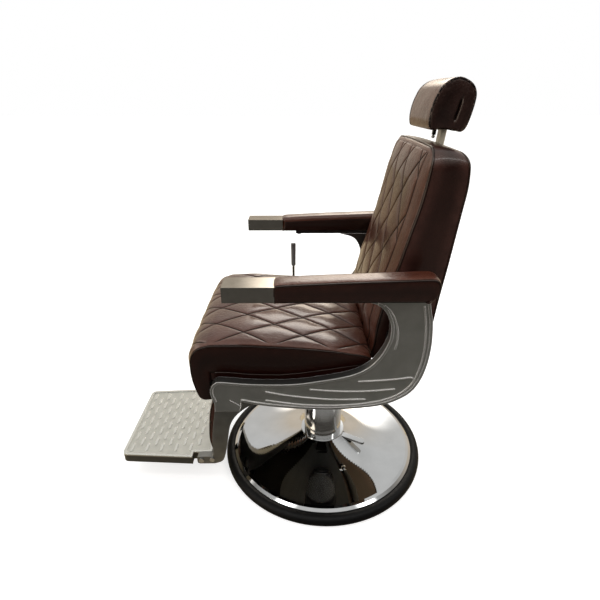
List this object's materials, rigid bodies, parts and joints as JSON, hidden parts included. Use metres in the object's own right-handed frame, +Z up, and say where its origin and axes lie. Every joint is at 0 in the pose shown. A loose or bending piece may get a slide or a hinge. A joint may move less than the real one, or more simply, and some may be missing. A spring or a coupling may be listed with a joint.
{
  "type": "hydraulic barber chair",
  "caption": "Reclining barber chair on a round pedestal with a foot pumped lift, side frames with arm pads, calf rest, flip-up footplate and adjustable headrest.",
  "frame": {"origin": "on the floor, under the middle of the round base", "axes": "+Z up along the column, the sitter faces -Y, +X is to the sitter's left"},
  "size_m": [0.6799, 0.9859, 1.197],
  "materials": {
    "rubber": "matt black",
    "grip_rubber": "matt dark grey",
    "chrome": "mirror chrome",
    "cast_iron": "as cast, painted",
    "black_steel": "satin black paint",
    "steel": "bright steel",
    "bronze": "machined bronze",
    "polished_casting": "polished and lacquered casting",
    "tread_casting": "bright embossed casting",
    "plywood": "bare plywood",
    "leather": "glossy dark brown leather"
  },
  "bodies": {
    "base": {"base_ring": "rubber", "base_dish": "chrome", "base_casting": "cast_iron", "base_collar": "chrome", "pump_column": "chrome", "cylinder_liner": "steel", "cylinder_gland": "steel", "wiper_seal": "rubber", "pump_block": "cast_iron", "pedal_pin": "steel"},
    "pedal": {"pump_pedal": "chrome"},
    "plunger": {"pump_plunger": "steel"},
    "piston": {"piston_rod": "chrome", "piston_head": "steel", "piston_seal": "rubber", "thrust_washer": "bronze"},
    "chair": {"swivel_hub": "black_steel", "subframe": "black_steel", "leg_hangers": "black_steel", "leg_pins": "steel", "seat_board": "plywood", "seat_base": "leather", "seat_cushion": "leather", "side_frame_left": "polished_casting", "side_frame_right": "polished_casting", "frame_bolts": "steel", "back_pivot_pins": "steel", "frame_stops": "rubber", "lever_pin": "steel", "arm_bar_left": "black_steel", "arm_bar_right": "black_steel", "arm_core_left": "plywood", "arm_core_right": "plywood", "arm_pad_left": "leather", "arm_pad_right": "leather", "arm_tip_left": "chrome", "arm_tip_right": "chrome"},
    "strut_tube": {"strut_body": "black_steel"},
    "strut_stem": {"strut_rod": "chrome"},
    "back": {"back_yoke": "black_steel", "back_panel": "leather", "back_cushion": "leather", "headrest_guide": "black_steel"},
    "headrest_stem": {"headrest_post": "chrome"},
    "headrest": {"headrest_bracket": "black_steel", "headrest_board": "plywood", "headrest_pad": "leather"},
    "release": {"headrest_release": "rubber"},
    "legrest": {"leg_left": "polished_casting", "leg_right": "polished_casting", "leg_ties": "black_steel", "calf_board": "plywood", "calf_pad": "leather", "foot_screws": "chrome"},
    "footplate": {"tread_plate": "tread_casting", "foot_ears": "black_steel", "foot_bumpers": "rubber"},
    "lever": {"recline_lever": "steel", "lever_grip": "grip_rubber"}
  },
  "joints": [
    {"name": "lift", "type": "slide", "parent": "base", "child": "piston", "axis": [0, 0, 1], "range_m": [0, 0.13]},
    {"name": "swivel", "type": "hinge", "parent": "piston", "child": "chair", "pos_m": [0, 0, 0.32], "axis": [0, 0, 1], "continuous": true},
    {"name": "pedal_press", "type": "hinge", "parent": "base", "child": "pedal", "pos_m": [0.01784, 0.03355, 0.078], "axis": [-0.8829, 0.4695, 0], "range_deg": [0, 6.5], "stiffness_Nm_per_rad": 4, "springref_deg": -17.19},
    {"name": "plunger_stroke", "type": "slide", "parent": "base", "child": "plunger", "axis": [0, 0, 1], "range_m": [0, 0.0035]},
    {"name": "recline", "type": "hinge", "parent": "chair", "child": "back", "pos_m": [0, 0.15, 0.455], "axis": [-1, 0, 0], "range_deg": [0, 52]},
    {"name": "legrest_swing", "type": "hinge", "parent": "chair", "child": "legrest", "pos_m": [0, -0.3, 0.35], "axis": [-1, 0, 0], "range_deg": [0, 66]},
    {"name": "strut_swing", "type": "hinge", "parent": "chair", "child": "strut_tube", "pos_m": [0, -0.12, 0.415], "axis": [1, 0, 0], "range_deg": [0, 4.2]},
    {"name": "strut_slide", "type": "slide", "parent": "strut_tube", "child": "strut_stem", "axis": [0, 0.9999, -0.0111], "range_m": [-0.0345, 0]},
    {"name": "headrest_height", "type": "slide", "parent": "back", "child": "headrest_stem", "axis": [0, 0.1045, 0.9945], "range_m": [0, 0.1]},
    {"name": "headrest_tilt", "type": "hinge", "parent": "headrest_stem", "child": "headrest", "pos_m": [0, 0.29978, 1.107], "axis": [-1, 0, 0], "range_deg": [-8, 12]},
    {"name": "release_press", "type": "hinge", "parent": "headrest_stem", "child": "release", "pos_m": [0, 0.27594, 1.08105], "axis": [-1, 0, 0], "range_deg": [0, 12], "stiffness_Nm_per_rad": 0.05, "springref_deg": -11.46},
    {"name": "foot_flip", "type": "hinge", "parent": "legrest", "child": "footplate", "pos_m": [0, -0.391, 0.108], "axis": [-1, 0, 0], "range_deg": [0, 60]},
    {"name": "lever_pull", "type": "hinge", "parent": "chair", "child": "lever", "pos_m": [0, -0.102, 0.44], "axis": [-1, 0, 0], "range_deg": [0, 18], "stiffness_Nm_per_rad": 4, "springref_deg": -17.19}
  ],
  "couplings": [
    {"joint": "plunger_stroke", "follows": "pedal_press", "m_per_rad": 0.026},
    {"joint": "legrest_swing", "follows": "recline", "ratio": 1.25},
    {"joint": "strut_swing", "follows": "recline", "ratio": 0.0753},
    {"joint": "strut_slide", "follows": "recline", "m_per_rad": -0.03693}
  ]
}
